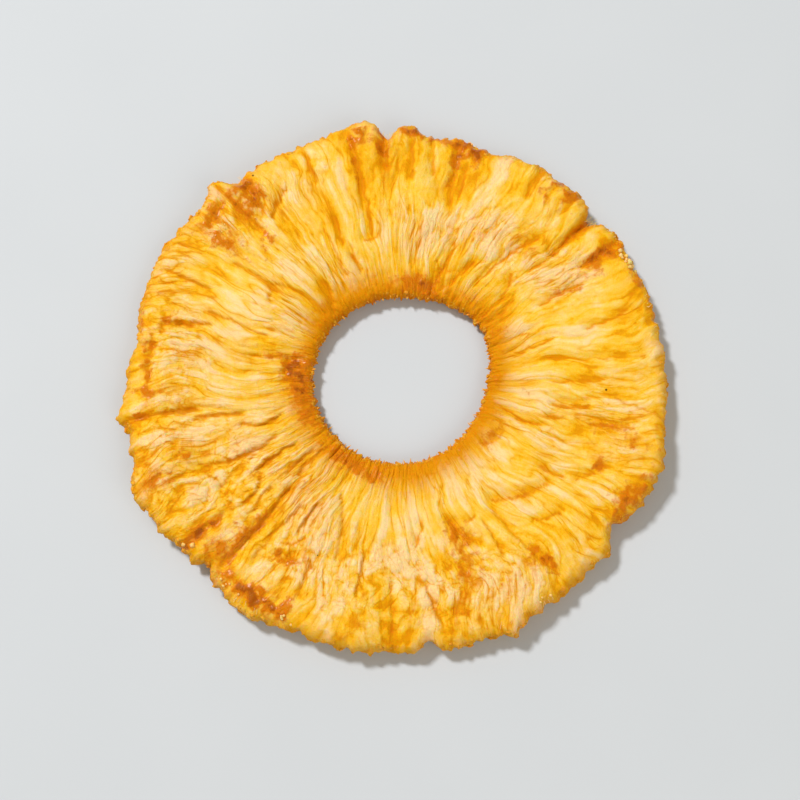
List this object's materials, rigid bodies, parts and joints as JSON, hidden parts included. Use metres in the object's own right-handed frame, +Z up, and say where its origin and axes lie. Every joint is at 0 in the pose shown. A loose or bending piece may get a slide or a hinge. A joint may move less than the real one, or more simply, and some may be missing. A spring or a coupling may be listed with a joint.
{
  "type": "dried pineapple ring",
  "caption": "Flat dried pineapple slice with a punched core hole, radial creases in its face and an uneven shrunken rim.",
  "frame": {"origin": "on the surface the slice lies on, under the middle of its outline", "axes": "+Z up through the slice's thickness, out of the face shown in the picture; +Y towards the top of the slice in the picture; +X to the picture's right"},
  "size_m": [0.0819, 0.0816, 0.0057],
  "materials": {
    "dried_flesh": "satin dried fruit flesh, golden yellow with paler radial fibres and amber, slightly sticky patches at the rim"
  },
  "bodies": {
    "root": {"pineapple_ring": "dried_flesh"}
  },
  "joints": []
}
